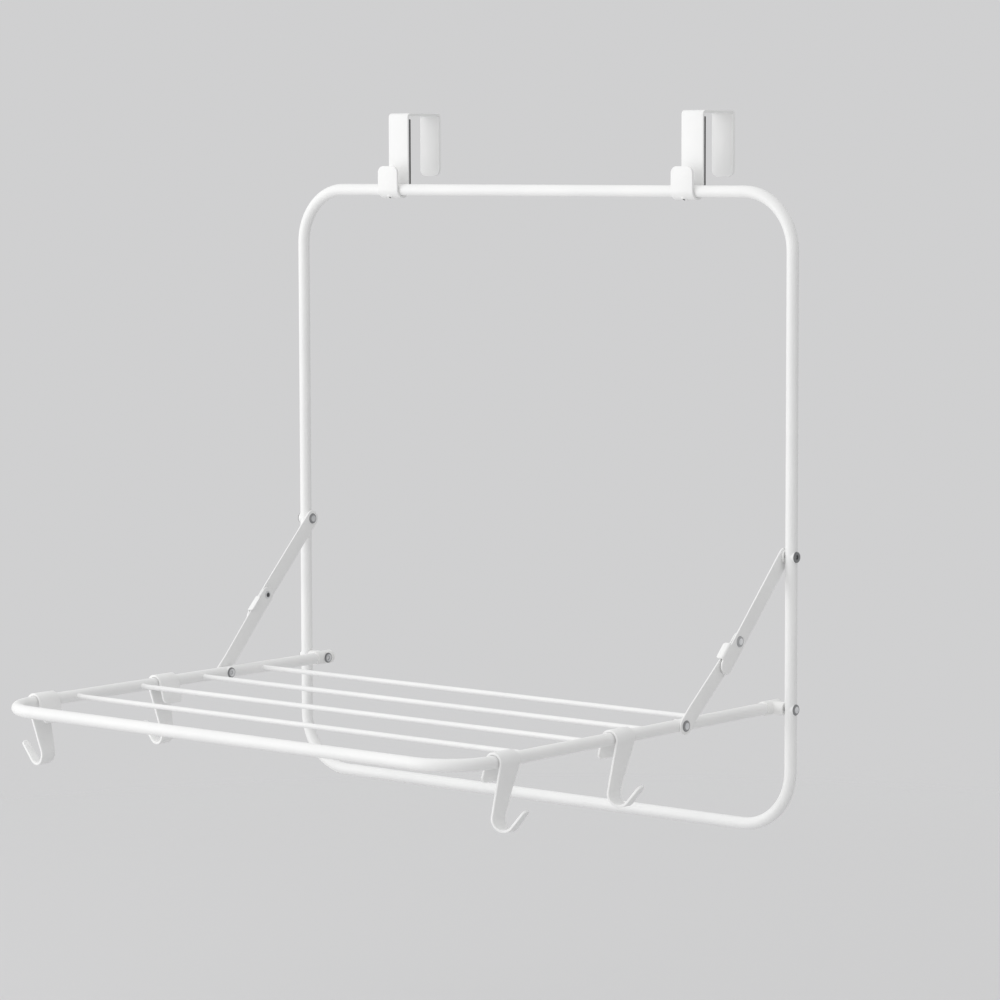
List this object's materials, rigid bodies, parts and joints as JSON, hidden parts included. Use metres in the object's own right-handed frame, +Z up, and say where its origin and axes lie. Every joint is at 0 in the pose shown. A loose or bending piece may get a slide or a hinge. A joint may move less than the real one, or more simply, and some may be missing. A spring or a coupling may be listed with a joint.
{
  "type": "over-door folding drying rack",
  "caption": "Drying rack that hangs over a door's top edge; a wired shelf folds down on braces, with sliding garment hooks.",
  "frame": {"origin": "the door's top front edge, midway between the two over-door hooks: Z = 0 is the top of the door, Y = 0 its front face", "axes": "+X along the door's width, -Y away from the door towards the room, +Z up; the shelf folds down over -Y"},
  "size_m": [0.516, 0.4294, 0.5582],
  "materials": {
    "coat": "satin white powder coat on steel tube, wire and strip",
    "cap": "white moulded plastic",
    "zinc": "zinc plated steel",
    "foam": "dark closed-cell foam strip"
  },
  "bodies": {
    "frame": {"wall_frame": "coat", "over_door_hook_left": "coat", "over_door_hook_right": "coat", "door_pad_left": "foam", "door_pad_right": "foam", "hook_rivet_left": "coat", "hook_rivet_right": "coat", "brace_rivet_left": "zinc", "brace_rivet_right": "zinc", "brace_washer_left": "cap", "brace_washer_right": "cap", "shelf_rivet_left": "zinc", "shelf_rivet_right": "zinc"},
    "shelf": {"shelf_tube": "coat", "wire_1": "coat", "wire_2": "coat", "wire_3": "coat", "wire_4": "coat", "arm_cap_left": "cap", "arm_cap_right": "cap", "pivot_bush_left": "cap", "pivot_bush_right": "cap", "arm_rivet_left": "zinc", "arm_rivet_right": "zinc"},
    "left_upper_link": {"upper_link_left": "coat", "elbow_rivet_left": "zinc"},
    "left_lower_link": {"lower_link_left": "coat", "elbow_tail_left": "zinc"},
    "right_upper_link": {"upper_link_right": "coat", "elbow_rivet_right": "zinc"},
    "right_lower_link": {"lower_link_right": "coat", "elbow_tail_right": "zinc"},
    "left_front_hook": {"front_hook_left": "coat"},
    "right_front_hook": {"front_hook_right": "coat"},
    "left_rear_hook": {"rear_hook_left": "coat"},
    "right_rear_hook": {"rear_hook_right": "coat"}
  },
  "joints": [
    {"name": "shelf_fold", "type": "hinge", "parent": "frame", "child": "shelf", "pos_m": [0, -0.01063, -0.458], "axis": [-1, 0, 0], "range_deg": [0, 90]},
    {"name": "left_upper_link_swing", "type": "hinge", "parent": "frame", "child": "left_upper_link", "pos_m": [-0.245, -0.01063, -0.34], "axis": [-1, 0, 0], "range_deg": [0, 135.9]},
    {"name": "left_lower_link_swing", "type": "hinge", "parent": "shelf", "child": "left_lower_link", "pos_m": [-0.239, -0.12862, -0.458], "axis": [-1, 0, 0], "range_deg": [-135.9, 0]},
    {"name": "right_upper_link_swing", "type": "hinge", "parent": "frame", "child": "right_upper_link", "pos_m": [0.245, -0.01063, -0.34], "axis": [-1, 0, 0], "range_deg": [0, 135.9]},
    {"name": "right_lower_link_swing", "type": "hinge", "parent": "shelf", "child": "right_lower_link", "pos_m": [0.239, -0.12862, -0.458], "axis": [-1, 0, 0], "range_deg": [-135.9, 0]},
    {"name": "left_front_hook_slide", "type": "slide", "parent": "shelf", "child": "left_front_hook", "axis": [0, -1, 0], "range_m": [-0.013, 0]},
    {"name": "right_front_hook_slide", "type": "slide", "parent": "shelf", "child": "right_front_hook", "axis": [0, -1, 0], "range_m": [-0.013, 0]},
    {"name": "left_rear_hook_slide", "type": "slide", "parent": "shelf", "child": "left_rear_hook", "axis": [0, -1, 0], "range_m": [-0.01, 0.015]},
    {"name": "right_rear_hook_slide", "type": "slide", "parent": "shelf", "child": "right_rear_hook", "axis": [0, -1, 0], "range_m": [-0.01, 0.015]}
  ],
  "couplings": [
    {"joint": "left_upper_link_swing", "follows": "shelf_fold", "ratio": 1.51},
    {"joint": "left_lower_link_swing", "follows": "shelf_fold", "ratio": -1.51},
    {"joint": "right_upper_link_swing", "follows": "shelf_fold", "ratio": 1.51},
    {"joint": "right_lower_link_swing", "follows": "shelf_fold", "ratio": -1.51}
  ]
}
